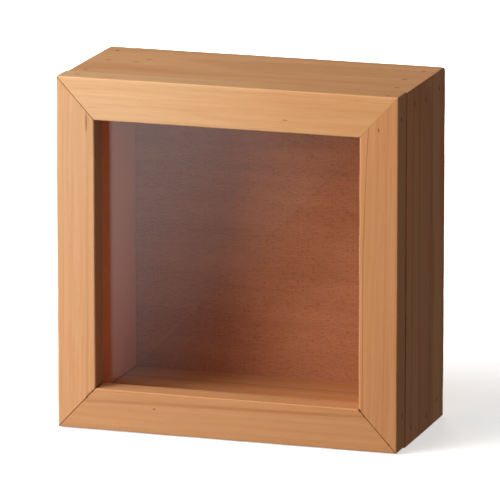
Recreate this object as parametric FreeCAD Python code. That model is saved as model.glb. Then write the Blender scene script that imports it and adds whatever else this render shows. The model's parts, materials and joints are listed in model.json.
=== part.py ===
import FreeCAD, Part
import os

# A square wooden shadow box: a mitred front frame that holds a pane of glass, pinned and
# glued to a deeper mitred case, with a plywood back that lifts out once four turn buttons
# are swung clear. Millimetres. +X is to the right seen from the front, the front faces -Y
# and +Z is up. The origin is in the middle of the width and depth, on the underside.

# Overall sizes
case_width = 200.0
case_height = 203.0
case_depth = 92.5               # from the face of the front frame to the rear edges

# Front frame
stile_face = 22.4               # width of each upright member seen from the front
rail_face = 24.1                # width of the top and bottom members
frame_thickness = 16.0          # front to back
frame_offset = 0.5              # the frame was glued on this far up and to the left
frame_easing = 0.7              # rounding of the frame's outer and inner edges

# Case boards
board_thickness = 16.0
board_easing = 0.8
rear_land = 9.0                 # solid rear edge left outside the rebate for the back panel

# Glass
glass_thickness = 2.0
glass_lap = 4.0                 # how far the case boards lap behind the edge of the glass
glass_edge_gap = 0.5            # all round, between the glass and its rabbet
glass_rear_gap = 0.2            # behind the glass, filled by its bead of glue

# Back panel
panel_thickness = 3.0
panel_edge_gap = 0.5            # all round, inside the rebate
panel_seat_gap = 0.1            # between the panel and the floor of the rebate
panel_easing = 0.3

# Nails of the case, three to a corner from each face, and pins of the front frame
nail_shank_radius = 0.55
nail_head_radius = 0.8
nail_head_height = 0.9
nail_length = 30.0
pin_length = 26.0

# Turn buttons and their screws
button_length = 24.0
button_width = 8.0
button_tip_width = 6.4
button_thickness = 1.0
button_gap = 0.1                # behind the button, and again under the screw's head
button_spacing = 100.0          # height between the two buttons on one side
button_bore_clearance = 0.06    # radial, between the bore and the screw
screw_radius = 1.25
screw_length = 11.0             # below the head
screw_head_radius = 2.4
screw_head_height = 1.4
screw_slot_width = 0.6
screw_slot_depth = 0.5

# Sawtooth hanger
hanger_length = 44.0
hanger_height = 7.6
hanger_thickness = 0.9
hanger_step = 1.2               # how far the toothed middle stands off the ends
hanger_foot = 8.0               # length of each flat end
hanger_ramp = 2.0
tooth_pitch = 2.4
tooth_depth = 1.5
notch_overrun = 0.1             # how far a notch's cutter starts below the strip
hanger_nail_radius = 0.6
hanger_nail_head_radius = 1.5
hanger_nail_head_height = 0.7
hanger_nail_length = 9.0

# Worked out from the sizes above
front_y = -case_depth / 2
rear_y = case_depth / 2
seam_y = front_y + frame_thickness
glass_seat_y = seam_y - glass_thickness - glass_rear_gap
glass_inset = board_thickness - glass_lap
panel_front_y = rear_y - panel_thickness
land_middle = rear_land / 2
along_x = FreeCAD.Vector(1, 0, 0)
along_y = FreeCAD.Vector(0, 1, 0)
along_z = FreeCAD.Vector(0, 0, 1)
cut_margin = 5.0                # how far cutting shapes reach past what they cut
touching = 0.01                 # closer than this counts as in one plane


class Outline:
    """A rectangle seen from the front: the outside of the case, or of the front frame."""

    def __init__(self, left, right, bottom, top):
        self.left = left
        self.right = right
        self.bottom = bottom
        self.top = top
        self.middle_x = (left + right) / 2
        self.middle_z = (bottom + top) / 2

    def inset(self, across, up):
        return Outline(self.left + across, self.right - across, self.bottom + up, self.top - up)

    def block(self, near_y, far_y):
        corner = FreeCAD.Vector(self.left, near_y, self.bottom)
        return Part.makeBox(self.right - self.left, far_y - near_y, self.top - self.bottom, corner)


case_outline = Outline(-case_width / 2, case_width / 2, 0.0, case_height)
frame_outline = Outline(case_outline.left - frame_offset, case_outline.right - frame_offset,
                        case_outline.bottom + frame_offset, case_outline.top + frame_offset)


def prism(points, near_y, far_y):
    """A straight block along Y over a polygon given as (x, z) points."""
    corners = [FreeCAD.Vector(x, near_y, z) for x, z in points]
    face = Part.Face(Part.makePolygon(corners + corners[:1]))
    return face.extrude(along_y * (far_y - near_y))


def mitred_members(ring, outline, upright_width, level_width):
    """Parts a closed ring into its four members, from its outer corners to its inner ones."""
    far = outline.inset(-upright_width, -level_width)
    near = outline.inset(2 * upright_width, 2 * level_width)
    sides = {
        "top": [(far.left, far.top), (far.right, far.top),
                (near.right, near.top), (near.left, near.top)],
        "right": [(far.right, far.top), (far.right, far.bottom),
                  (near.right, near.bottom), (near.right, near.top)],
        "bottom": [(far.left, far.bottom), (far.right, far.bottom),
                   (near.right, near.bottom), (near.left, near.bottom)],
        "left": [(far.left, far.top), (far.left, far.bottom),
                 (near.left, near.bottom), (near.left, near.top)],
    }
    reach = case_depth + cut_margin
    return {side: ring.common(prism(points, -reach, reach)).Solids[0] for side, points in sides.items()}


def eased_block(outline, near_y, far_y, radius):
    block = outline.block(near_y, far_y)
    return block.makeFillet(radius, block.Edges)


def member_bars(outline, opening):
    """A bar for each side that reaches in to the opening, with its inner front edge eased."""
    reach = outline.inset(-cut_margin, -cut_margin)
    bars = {
        "top": Outline(reach.left, reach.right, opening.top, reach.top),
        "right": Outline(opening.right, reach.right, reach.bottom, reach.top),
        "bottom": Outline(reach.left, reach.right, reach.bottom, opening.bottom),
        "left": Outline(reach.left, opening.left, reach.bottom, reach.top),
    }
    eased = {}
    for side, bar in bars.items():
        block = bar.block(front_y, seam_y + cut_margin)
        inner = FreeCAD.Vector(outline.middle_x, front_y, outline.middle_z)
        front_edges = [edge for edge in block.Edges if edge.BoundBox.YMax < front_y + touching]
        nearest = min(front_edges, key=lambda edge: edge.CenterOfMass.distanceToPoint(inner))
        eased[side] = block.makeFillet(frame_easing, [nearest])
    return eased


def front_frame():
    """The four mitred members, with the rabbet for the glass cut in their rear faces."""
    opening = frame_outline.inset(stile_face, rail_face)
    rabbet = frame_outline.inset(glass_inset, glass_inset)
    block = eased_block(frame_outline, front_y, seam_y, frame_easing)
    block = block.cut(rabbet.block(glass_seat_y, seam_y + cut_margin))
    bars = member_bars(frame_outline, opening)
    wedges = mitred_members(block, frame_outline, stile_face, rail_face)
    return {side: wedge.common(bars[side]).Solids[0] for side, wedge in wedges.items()}


def case_boards():
    """The four mitred boards, with the rebate for the back panel cut in their rear edges."""
    ring = eased_block(case_outline, seam_y, rear_y, board_easing)
    inside = case_outline.inset(board_thickness, board_thickness)
    ring = ring.cut(inside.block(seam_y - cut_margin, rear_y + cut_margin))
    rebate = case_outline.inset(rear_land, rear_land)
    ring = ring.cut(rebate.block(panel_front_y - panel_seat_gap, rear_y + cut_margin))
    return mitred_members(ring, case_outline, board_thickness, board_thickness)


def glass_pane():
    margin = glass_inset + glass_edge_gap
    edge = frame_outline.inset(margin, margin)
    return edge.block(glass_seat_y, glass_seat_y + glass_thickness)


def back_panel():
    margin = rear_land + panel_edge_gap
    edge = case_outline.inset(margin, margin)
    return eased_block(edge, panel_front_y, rear_y, panel_easing)


def nail(head_top, into, length, shank_radius, head_radius, head_height):
    """One nail, from the middle of the top of its head, driven in the direction given."""
    head = Part.makeCylinder(head_radius, head_height, head_top, into)
    shank = Part.makeCylinder(shank_radius, length, head_top, into)
    return head.fuse(shank)


# Where each row of nails goes, at one corner of one face: its three places count from the
# seam, from the middle of the boards' depth and from the rear edge, and each has a second
# number, its shift from the middle of the board that it enters. Nails that cross at a
# corner pass one in front of the other.
case_nail_rows = {
    ("top", "left"): ((8.5, 0.9), (-0.3, 4.2), (11.7, 0.5)),
    ("top", "right"): ((12.5, 1.5), (-2.5, 4.0), (15.8, 0.2)),
    ("bottom", "left"): ((14.0, 0.4), (-2.0, 1.6), (9.5, -0.8)),
    ("bottom", "right"): ((15.0, -0.6), (-1.0, 0.8), (10.3, 1.2)),
    ("left", "top"): ((12.0, 0.6), (-4.0, 2.0), (15.4, 1.4)),
    ("left", "bottom"): ((10.0, 1.8), (1.6, -0.5), (13.2, 2.6)),
    ("right", "top"): ((15.1, 0.9), (-0.7, 2.9), (12.6, 1.6)),
    ("right", "bottom"): ((11.0, 1.5), (3.4, 0.5), (14.1, 4.9)),
}

# One pin for each: its shift from the middle of the frame's thickness, and from the
# middle of the member that it enters.
frame_pin_places = {
    ("top", "left"): (-0.2, -0.9),
    ("top", "right"): (-4.9, -4.7),
    ("bottom", "left"): (-3.5, -1.5),
    ("bottom", "right"): (-2.0, -1.1),
    ("left", "top"): (3.4, 0.4),
    ("left", "bottom"): (1.0, 1.8),
    ("right", "top"): (-1.2, 1.6),
    ("right", "bottom"): (3.2, 7.3),
}


def face_point(outline, face, end, inset, y):
    """A point on an outer face of the case, a distance in from one end of that face."""
    across = {"left": outline.left + inset, "right": outline.right - inset}
    up = {"bottom": outline.bottom + inset, "top": outline.top - inset}
    if face in up:
        return FreeCAD.Vector(across[end], y, getattr(outline, face))
    return FreeCAD.Vector(getattr(outline, face), y, up[end])


inward = {"top": along_z * -1, "bottom": along_z, "left": along_x, "right": along_x * -1}


def case_nails(face):
    middle_y = (seam_y + rear_y) / 2
    nails = []
    for (row_face, end), places in case_nail_rows.items():
        if row_face != face:
            continue
        depths = (seam_y + places[0][0], middle_y + places[1][0], rear_y - places[2][0])
        for y, place in zip(depths, places):
            point = face_point(case_outline, face, end, board_thickness / 2 + place[1], y)
            nails.append(nail(point, inward[face], nail_length, nail_shank_radius,
                              nail_head_radius, nail_head_height))
    return nails


def frame_pins():
    pins = []
    for (face, end), (depth_shift, width_shift) in frame_pin_places.items():
        y = front_y + frame_thickness / 2 + depth_shift
        entered_width = stile_face if face in ("top", "bottom") else rail_face
        point = face_point(frame_outline, face, end, entered_width / 2 + width_shift, y)
        pins.append(nail(point, inward[face], pin_length, nail_shank_radius,
                         nail_head_radius, nail_head_height))
    return pins


def button_pivots():
    """The four pivots, on the rear lands of the side boards."""
    middle = case_height / 2
    pivots = {}
    for side, x in (("left", case_outline.left + land_middle), ("right", case_outline.right - land_middle)):
        pivots["lower", side] = FreeCAD.Vector(x, rear_y, middle - button_spacing / 2)
        pivots["upper", side] = FreeCAD.Vector(x, rear_y, middle + button_spacing / 2)
    return pivots


def turn_button(pivot):
    """A flat tapered button, swung clear of the panel: its arm points up from its pivot."""
    base = pivot + along_y * button_gap
    wide = button_width / 2
    narrow = button_tip_width / 2
    tip = base + along_z * (button_length - wide - narrow)
    arm_points = [(base.x - wide, base.z), (base.x + wide, base.z),
                  (tip.x + narrow, tip.z), (tip.x - narrow, tip.z)]
    plate = prism(arm_points, base.y, base.y + button_thickness)
    plate = plate.fuse(Part.makeCylinder(wide, button_thickness, base, along_y))
    plate = plate.fuse(Part.makeCylinder(narrow, button_thickness, tip, along_y)).removeSplitter()
    bore = Part.makeCylinder(screw_radius + button_bore_clearance, button_thickness, base, along_y)
    return plate.cut(bore)


def button_screw(pivot):
    """A slotted round-head screw that the button turns on."""
    seat = pivot + along_y * (button_thickness + 2 * button_gap)
    ball_radius = (screw_head_radius ** 2 + screw_head_height ** 2) / (2 * screw_head_height)
    ball_middle = screw_head_height - ball_radius
    half_width = screw_head_radius / 2
    half_height = ball_middle + (ball_radius ** 2 - half_width ** 2) ** 0.5

    def at(radius, height):
        return seat + FreeCAD.Vector(radius, height, 0)

    rim = at(screw_head_radius, 0)
    crown = at(0, screw_head_height)
    sides = [Part.makeLine(at(0, -screw_length), at(screw_radius, -screw_length)),
             Part.makeLine(at(screw_radius, -screw_length), at(screw_radius, 0)),
             Part.makeLine(at(screw_radius, 0), rim),
             Part.Arc(rim, at(half_width, half_height), crown).toShape(),
             Part.makeLine(crown, at(0, -screw_length))]
    screw = Part.Face(Part.Wire(sides)).revolve(seat, along_y, 360)
    slot_corner = at(-screw_head_radius, screw_head_height - screw_slot_depth)
    slot_corner = slot_corner - along_z * (screw_slot_width / 2)
    slot = Part.makeBox(2 * screw_head_radius, cut_margin, screw_slot_width, slot_corner)
    return screw.cut(slot)


def hanger_nail_points():
    z = case_outline.top - land_middle
    reach = hanger_length / 2 - hanger_foot / 2
    return [FreeCAD.Vector(x, rear_y + hanger_thickness, z) for x in (-reach, reach)]


def sawtooth_hanger():
    """A pressed strip: flat nailed ends, and a stood-off middle with teeth along its lower edge."""
    half = hanger_length / 2
    ramp_start = half - hanger_foot
    ramp_end = ramp_start - hanger_ramp
    low = rear_y
    high = rear_y + hanger_step
    under = [(-half, low), (-ramp_start, low), (-ramp_end, high),
             (ramp_end, high), (ramp_start, low), (half, low)]
    over = [(x, y + hanger_thickness) for x, y in reversed(under)]
    bottom = case_outline.top - land_middle - hanger_height / 2
    corners = [FreeCAD.Vector(x, y, bottom) for x, y in under + over]
    strip = Part.Face(Part.makePolygon(corners + corners[:1])).extrude(along_z * hanger_height)
    tooth_count = int(2 * ramp_end / tooth_pitch)
    first = -tooth_count * tooth_pitch / 2
    for number in range(tooth_count):
        left = first + number * tooth_pitch
        notch = [(left, bottom - notch_overrun), (left + tooth_pitch, bottom - notch_overrun),
                 (left + tooth_pitch / 2, bottom + tooth_depth)]
        strip = strip.cut(prism(notch, low, high + cut_margin))
    for point in hanger_nail_points():
        strip = strip.cut(Part.makeCylinder(hanger_nail_radius, cut_margin, point, along_y * -1))
    return strip


def hanger_nails():
    nails = []
    for point in hanger_nail_points():
        top = point + along_y * hanger_nail_head_height
        nails.append(nail(top, along_y * -1, hanger_nail_length, hanger_nail_radius,
                          hanger_nail_head_radius, hanger_nail_head_height))
    return nails


def build():
    """Every sub-part by its name, in its place."""
    fixings = {face + "_board_nails": case_nails(face) for face in inward}
    fixings["front_frame_pins"] = frame_pins()
    fixings["hanger_nails"] = hanger_nails()
    pivots = button_pivots()
    fixings["turn_button_screws"] = [button_screw(pivot) for pivot in pivots.values()]
    all_fixings = Part.makeCompound([solid for group in fixings.values() for solid in group])

    nodes = {}
    frame_names = {"top": "front_top_rail", "bottom": "front_bottom_rail",
                   "left": "front_left_stile", "right": "front_right_stile"}
    for side, member in front_frame().items():
        nodes[frame_names[side]] = member.cut(all_fixings)
    for side, board in case_boards().items():
        nodes[side + "_board"] = board.cut(all_fixings)
    nodes["glass_pane"] = glass_pane()
    nodes["back_panel"] = back_panel()
    for (level, side), pivot in pivots.items():
        nodes["turn_button_" + level + "_" + side] = turn_button(pivot)
    nodes["sawtooth_hanger"] = sawtooth_hanger()
    for name, group in fixings.items():
        nodes[name] = Part.makeCompound(group)
    return nodes


os.makedirs("parts", exist_ok=True)
for name, shape in build().items():
    if not shape.isValid() or not shape.Solids:
        raise ValueError(name + " is not a sound solid")
    shape.exportStep("parts/" + name + ".step")
    box = shape.BoundBox
    print("%-26s %2d solids  %8.2f cm3  x %7.2f %7.2f  y %7.2f %7.2f  z %7.2f %7.2f" % (
        name, len(shape.Solids), shape.Volume / 1000, box.XMin, box.XMax,
        box.YMin, box.YMax, box.ZMin, box.ZMax))
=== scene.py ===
import json
import math

import bmesh
import bpy
from bpy.props import FloatProperty, FloatVectorProperty, PointerProperty
from mathutils import Matrix, Vector, noise


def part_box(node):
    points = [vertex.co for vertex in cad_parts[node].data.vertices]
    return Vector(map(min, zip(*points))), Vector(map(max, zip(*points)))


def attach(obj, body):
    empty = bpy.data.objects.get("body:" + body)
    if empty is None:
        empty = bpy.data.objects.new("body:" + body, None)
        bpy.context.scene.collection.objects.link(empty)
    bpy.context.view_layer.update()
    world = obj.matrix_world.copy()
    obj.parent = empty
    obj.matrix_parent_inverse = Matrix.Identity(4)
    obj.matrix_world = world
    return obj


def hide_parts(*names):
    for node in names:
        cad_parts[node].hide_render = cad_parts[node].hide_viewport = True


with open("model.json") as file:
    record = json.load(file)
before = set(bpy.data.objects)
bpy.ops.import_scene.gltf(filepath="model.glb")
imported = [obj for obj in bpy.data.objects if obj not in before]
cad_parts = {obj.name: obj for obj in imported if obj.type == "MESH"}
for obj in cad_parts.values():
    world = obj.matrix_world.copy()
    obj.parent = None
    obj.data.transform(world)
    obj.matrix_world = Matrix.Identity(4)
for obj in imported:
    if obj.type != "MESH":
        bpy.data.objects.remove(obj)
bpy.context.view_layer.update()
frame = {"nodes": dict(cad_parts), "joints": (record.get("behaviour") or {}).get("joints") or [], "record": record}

bl_info = {
    "name": "Shadow Box",
    "version": (1, 0, 0),
    "blender": (4, 5, 0),
    "location": "3D View > Sidebar > Shadow Box",
    "description": "Builds the wood, glass and fittings of a glazed shadow box around its frame",
    "category": "Object",
}

MM = 0.001                     # lengths below are in millimetres, meshes in metres


# ---------------------------------------------------------------- places from the frame

class Outline:
    """A rectangle seen from the front, in millimetres."""

    def __init__(self, left, right, bottom, top):
        self.left = left
        self.right = right
        self.bottom = bottom
        self.top = top
        self.middle_x = (left + right) / 2
        self.middle_z = (bottom + top) / 2
        self.half_width = (right - left) / 2
        self.half_height = (top - bottom) / 2

    def rounded(self, point, radius):
        """Pulls a point that lies outside this rectangle's rounded corners onto them."""
        x = point.x - self.middle_x
        z = point.z - self.middle_z
        over_x = abs(x) - (self.half_width - radius)
        over_z = abs(z) - (self.half_height - radius)
        reach = math.hypot(over_x, over_z)
        if over_x <= 0 or over_z <= 0 or reach <= radius:
            return point
        shrink = radius / reach
        x = math.copysign(self.half_width - radius + over_x * shrink, x)
        z = math.copysign(self.half_height - radius + over_z * shrink, z)
        return Vector((x + self.middle_x, point.y, z + self.middle_z))


def box_mm(node):
    low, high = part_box(node)
    return low / MM, high / MM


def outline_of(left, right, bottom, top):
    return Outline(box_mm(left)[0].x, box_mm(right)[1].x, box_mm(bottom)[0].z, box_mm(top)[1].z)


FRONT = outline_of("front_left_stile", "front_right_stile", "front_bottom_rail", "front_top_rail")
CASE = outline_of("left_board", "right_board", "bottom_board", "top_board")
FRONT_Y, SEAM_Y = box_mm("front_top_rail")[0].y, box_mm("front_top_rail")[1].y
REAR_Y = box_mm("top_board")[1].y
RAIL = box_mm("front_top_rail")[1].z - box_mm("front_top_rail")[0].z
STILE = box_mm("front_left_stile")[1].x - box_mm("front_left_stile")[0].x
BOARD = box_mm("top_board")[1].z - box_mm("top_board")[0].z
GLASS = box_mm("glass_pane")
PANEL = box_mm("back_panel")
EDGE_GAP = 0.5                 # round the glass in its rabbet and round the panel in its rebate
RABBET_INSET = GLASS[0].x - FRONT.left - EDGE_GAP
REAR_LAND = PANEL[0].x - CASE.left - EDGE_GAP
REBATE_Y = PANEL[0].y - 0.1
# Where the members run along their length: the lying ones, then the upright ones.
RUNS = {True: (CASE.left, CASE.right), False: (CASE.bottom, CASE.top)}
CASE_NAILS = ("top_board_nails", "bottom_board_nails", "left_board_nails", "right_board_nails")
PIN_NODE = "front_frame_pins"
WELD = 0.00001                 # metres: vertices closer than this are one
SMOOTH_ANGLE = 32              # degrees: edges that turn more stay sharp


def islands(node):
    """The boxes of the separate solids in a node, in millimetres."""
    mesh = bmesh.new()
    mesh.from_mesh(frame["nodes"][node].data)
    bmesh.ops.remove_doubles(mesh, verts=mesh.verts, dist=WELD)
    waiting = set(mesh.verts)
    boxes = []
    while waiting:
        start = min(waiting, key=lambda v: v.index)
        waiting.discard(start)
        stack, found = [start], []
        while stack:
            vertex = stack.pop()
            found.append(vertex.co / MM)
            for edge in vertex.link_edges:
                other = edge.other_vert(vertex)
                if other in waiting:
                    waiting.discard(other)
                    stack.append(other)
        low = Vector([min(p[i] for p in found) for i in range(3)])
        high = Vector([max(p[i] for p in found) for i in range(3)])
        boxes.append((low, high))
    mesh.free()
    return boxes


def nails_in(node):
    """Where each nail of a node starts, which way it is driven and how long it is."""
    heart = Vector((0, 0, CASE.middle_z))
    nails = []
    for low, high in islands(node):
        size = high - low
        axis = max(range(3), key=lambda i: size[i])
        middle = (low + high) / 2
        outside = high[axis] if middle[axis] > heart[axis] else low[axis]
        head = middle.copy()
        head[axis] = outside
        into = Vector((0, 0, 0))
        into[axis] = -1 if middle[axis] > heart[axis] else 1
        nails.append((head, into, size[axis]))
    return nails


# ------------------------------------------------------------------------ mesh making

def finish_mesh(mesh, name, materials):
    """Turns a bmesh in millimetres into an object in metres with smooth and sharp edges."""
    bmesh.ops.recalc_face_normals(mesh, faces=mesh.faces)
    if mesh.calc_volume(signed=True) < 0:
        bmesh.ops.reverse_faces(mesh, faces=mesh.faces)
    bmesh.ops.scale(mesh, vec=(MM, MM, MM), verts=mesh.verts)
    data = bpy.data.meshes.new(name)
    mesh.to_mesh(data)
    mesh.free()
    for material in materials:
        data.materials.append(material)
    smooth_shading(data)
    piece = bpy.data.objects.new(name, data)
    bpy.context.scene.collection.objects.link(piece)
    return piece


def smooth_shading(data):
    data.polygons.foreach_set("use_smooth", [True] * len(data.polygons))
    data.set_sharp_from_angle(angle=math.radians(SMOOTH_ANGLE))


def skin_rings(mesh, rings, closed=False):
    """Four-sided faces between rings of vertices, and a face over each open end."""
    pairs = list(zip(rings, rings[1:]))
    if closed:
        pairs.append((rings[-1], rings[0]))
    for ring, following in pairs:
        for i in range(len(ring)):
            j = (i + 1) % len(ring)
            mesh.faces.new((ring[i], ring[j], following[j], following[i]))
    if not closed:
        mesh.faces.new(rings[0])
        mesh.faces.new(rings[-1])


def turned(mesh, start, into, profile, segments=20):
    """A turned solid from (radius, depth) points along a direction. The ends close to a point."""
    side = into.orthogonal().normalized()
    other = into.cross(side)
    tip = mesh.verts.new(start + into * profile[0][1])
    tail = mesh.verts.new(start + into * profile[-1][1])
    rings = []
    for radius, depth in profile[1:-1]:
        ring = []
        for i in range(segments):
            angle = 2 * math.pi * i / segments
            spoke = side * math.cos(angle) + other * math.sin(angle)
            ring.append(mesh.verts.new(start + into * depth + spoke * radius))
        rings.append(ring)
    for ring, following in zip(rings, rings[1:]):
        for i in range(segments):
            j = (i + 1) % segments
            mesh.faces.new((ring[i], ring[j], following[j], following[i]))
    for i in range(segments):
        j = (i + 1) % segments
        mesh.faces.new((tip, rings[0][j], rings[0][i]))
        mesh.faces.new((tail, rings[-1][i], rings[-1][j]))


def carve(piece, cutter):
    """Cuts one object out of another and throws the cutter away."""
    cut = piece.modifiers.new("cut", "BOOLEAN")
    cut.operation = "DIFFERENCE"
    cut.solver = "MANIFOLD"
    cut.object = cutter
    bpy.context.view_layer.update()
    evaluated = piece.evaluated_get(bpy.context.evaluated_depsgraph_get())
    data = bpy.data.meshes.new_from_object(evaluated)
    if len(data.polygons) < len(piece.data.polygons) / 2:
        raise RuntimeError("cutting " + piece.name + " lost most of its faces")
    piece.modifiers.clear()
    old = piece.data
    name = old.name
    piece.data = data
    bpy.data.meshes.remove(old)
    data.name = name
    smooth_shading(data)
    old_cutter = cutter.data
    bpy.data.objects.remove(cutter)
    bpy.data.meshes.remove(old_cutter)


def corner_arc(middle, radius, start, steps=4):
    """A quarter circle of (inset, y) points, in the turning order of a section."""
    points = []
    for i in range(steps + 1):
        angle = math.radians(start + 90 * i / steps)
        points.append((middle[0] + radius * math.cos(angle), middle[1] + radius * math.sin(angle)))
    return points


def straight(start, end, step):
    """Points spaced along a line, without its first and last."""
    length = math.dist(start, end)
    count = max(1, round(length / step))
    return [(start[0] + (end[0] - start[0]) * i / count, start[1] + (end[1] - start[1]) * i / count)
            for i in range(1, count)]


def join_runs(*runs, step):
    """One closed section from its arcs and corners, with points along the straight stretches."""
    section = []
    for run, following in zip(runs, runs[1:] + runs[:1]):
        section += run
        section += straight(run[-1], following[0], step)
    return section


SEAM_EASING = 0.15             # where the front frame and the case boards meet


def frame_section(width, easing):
    """A front frame member cut through: eased front edges and the rabbet behind."""
    return join_runs(
        corner_arc((easing, FRONT_Y + easing), easing, 180),
        corner_arc((width - easing, FRONT_Y + easing), easing, 270),
        [(width, GLASS[0].y)], [(RABBET_INSET, GLASS[0].y)], [(RABBET_INSET, SEAM_Y)],
        corner_arc((SEAM_EASING, SEAM_Y - SEAM_EASING), SEAM_EASING, 90, steps=2), step=1.1)


def board_section(easing):
    """A case board cut through: eased outer edges and the rebate for the back panel."""
    land_easing = 0.3
    return join_runs(
        corner_arc((SEAM_EASING, SEAM_Y + SEAM_EASING), SEAM_EASING, 180, steps=2),
        [(BOARD, SEAM_Y)], [(BOARD, REBATE_Y)], [(REAR_LAND, REBATE_Y)],
        corner_arc((REAR_LAND - land_easing, REAR_Y - land_easing), land_easing, 0, steps=2),
        corner_arc((easing, REAR_Y - easing), easing, 90), step=2.6)


def section_normals(section):
    """The outward direction at each point of a section that runs anticlockwise."""
    normals = []
    for i, point in enumerate(section):
        before = section[i - 1]
        after = section[(i + 1) % len(section)]
        along = Vector((after[0] - before[0], after[1] - before[1]))
        normals.append(Vector((along.y, -along.x)).normalized())
    return normals


NEAR_MITRE = (0.0, 0.16, 0.45, 0.85, 1.3, 1.9, 2.7, 3.8, 5.4, 7.6, 10.5)


class Member:
    """One mitred length of wood along a side of an outline."""

    def __init__(self, name, side, outline, section, slant, corner_radius):
        self.name = name
        self.side = side
        self.outline = outline
        self.section = section
        self.slant = slant                      # how far a mitre runs along for each unit of inset
        self.corner_radius = corner_radius      # a function of a point
        self.open_mitres = (0.03, 0.03)         # gap at the inner end of each mitre
        self.grooves = (0.12, 0.12)             # how deep the face edges at each mitre are rubbed
        self.chips = ()                         # (place, radius, depth)
        self.wear = 0.16                        # how unevenly the eased edges are rounded
        lying = side in ("top", "bottom")
        self.ends = (outline.left, outline.right) if lying else (outline.bottom, outline.top)
        self.inset_way = {"top": Vector((0, 0, -1)), "bottom": Vector((0, 0, 1)),
                          "left": Vector((1, 0, 0)), "right": Vector((-1, 0, 0))}[side]
        self.run_way = Vector((1, 0, 0)) if lying else Vector((0, 0, 1))
        self.depth = max(point[0] for point in section)

    def place(self, run, inset, y):
        o = self.outline
        edge = {"top": o.top, "bottom": o.bottom, "left": o.left, "right": o.right}[self.side]
        point = self.run_way * run + Vector((0, y, 0)) + self.inset_way * inset
        if self.side in ("top", "bottom"):
            point.z += edge
        else:
            point.x += edge
        return point

    def gap(self, end, inset):
        """How far one mitre stands open: nothing at its outer end, most at its inner end."""
        share = max(0.0, min(1.0, (inset / self.depth - 0.35) / 0.65))
        return 0.012 + self.open_mitres[end] * share * share

    def stations(self):
        """Each ring as a function of a point's inset, from one mitre to the other."""
        low, high = self.ends
        slant = self.slant
        last = NEAR_MITRE[-1]
        rings = [lambda a, w=w: low + a * slant + w + self.gap(0, a) for w in NEAR_MITRE]
        count = round((high - low - 2 * self.depth) / 3.2)
        for i in range(1, count):
            rings.append(lambda a, t=i / count: (low + a * slant + last) * (1 - t)
                         + (high - a * slant - last) * t)
        rings += [lambda a, w=w: high - a * slant - w - self.gap(1, a) for w in reversed(NEAR_MITRE)]
        return rings

    def worn(self, point, normal, curved, groove):
        """A point moved inward by hand sanding, rubbed mitre edges and chips."""
        way = self.inset_way * normal.x + Vector((0, normal.y, 0))
        slow = noise.noise(point * 0.045 + Vector((3.1, 0, self.ends[0])))
        quick = noise.noise(point * 0.35)
        dip = 0.02 + 0.02 * slow
        if curved:
            dip += self.wear * max(0.0, 0.35 + slow + 0.5 * quick)
        if groove:
            dip += groove * (1 + 0.4 * quick)
        for place, radius, depth in self.chips:
            near = 1 - (point - place).length / radius
            if near > 0:
                dip += depth * min(1.0, near * 1.8) * (0.8 + 0.5 * quick)
        return point - way * dip

    def build(self, materials):
        mesh = bmesh.new()
        normals = section_normals(self.section)
        turns = [abs(normals[i - 1].dot(normals[(i + 1) % len(normals)])) for i in range(len(normals))]
        rings = []
        stations = self.stations()
        for number, station in enumerate(stations):
            groove = {0: self.grooves[0], len(stations) - 1: self.grooves[1]}.get(number, 0)
            ring = []
            for (inset, y), normal, turn in zip(self.section, normals, turns):
                point = self.place(station(inset), inset, y)
                curved = 0.2 < turn < 0.995
                point = self.worn(point, normal, curved, groove)
                point = self.outline.rounded(point, self.corner_radius(point))
                ring.append(mesh.verts.new(point))
            rings.append(ring)
        skin_rings(mesh, rings)
        return finish_mesh(mesh, self.name, materials)


def rectangle_rim(outline, step, ragged=0.0):
    """Points round a rectangle with small cut corners, each with its outward direction."""
    clip = 0.35
    corners = [(outline.left, outline.bottom), (outline.right, outline.bottom),
               (outline.right, outline.top), (outline.left, outline.top)]
    ways = [(0, -1), (1, 0), (0, 1), (-1, 0)]
    rim = []
    for i, start in enumerate(corners):
        end = corners[(i + 1) % 4]
        length = math.dist(start, end)
        run = ((end[0] - start[0]) / length, (end[1] - start[1]) / length)
        count = max(2, round(length / step))
        for k in range(count + 1):
            far = clip + (length - 2 * clip) * k / count
            x, z = start[0] + run[0] * far, start[1] + run[1] * far
            pull = ragged * (0.5 + 0.5 * noise.noise(Vector((x * 0.6, 0, z * 0.6))))
            rim.append((x - ways[i][0] * pull, z - ways[i][1] * pull, Vector((ways[i][0], 0, ways[i][1]))))
    return rim


def plate_mesh(rim, layers, bore=None, lift=None):
    """A flat plate from its rim and (y, inset) layers. With a bore, a hole of (x, z, radius)."""
    mesh = bmesh.new()

    def settled(point):
        return point + Vector((0, lift(point), 0)) if lift else point

    rings = []
    for y, inset in layers:
        ring = [settled(Vector((x, y, z)) - way * inset) for x, z, way in rim]
        rings.append([mesh.verts.new(point) for point in ring])
    if bore:
        hole_x, hole_z, radius = bore
        spokes = [math.atan2(z - hole_z, x - hole_x) for x, z, way in rim]
        for y in (layers[-1][0], layers[0][0]):
            hole = [Vector((hole_x + radius * math.cos(spoke), y, hole_z + radius * math.sin(spoke)))
                    for spoke in spokes]
            rings.append([mesh.verts.new(settled(point)) for point in hole])
    skin_rings(mesh, rings, closed=bool(bore))
    return mesh


# --------------------------------------------------------------------- shader making

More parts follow.
